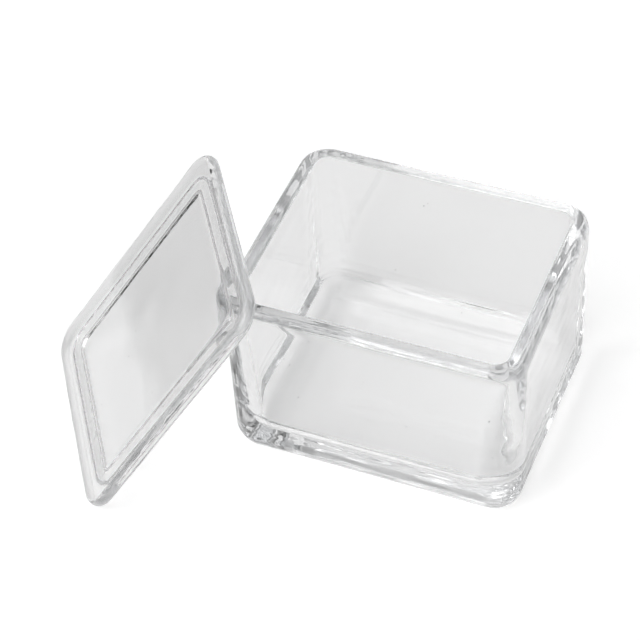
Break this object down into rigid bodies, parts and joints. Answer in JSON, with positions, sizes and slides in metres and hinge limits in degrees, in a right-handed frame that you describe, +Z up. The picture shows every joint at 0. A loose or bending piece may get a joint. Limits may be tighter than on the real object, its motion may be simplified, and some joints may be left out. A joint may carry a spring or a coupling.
{
  "type": "slide staining jar",
  "caption": "Rectangular clear glass jar with thick walls and base, and a loose glass lid with a locating ring leaning on its rim.",
  "frame": {"origin": "centre of the jar's flat underside, on the table", "axes": "+Z up out of the jar's mouth, +X along the jar's long side away from the lid, +Y along its short side"},
  "size_m": [0.18, 0.1289, 0.0839],
  "materials": {
    "jar_glass": "clear pressed glass with a fire-polished rim",
    "lid_glass": "clear pressed glass"
  },
  "bodies": {
    "root": {"jar": "jar_glass", "lid": "lid_glass"}
  },
  "joints": []
}
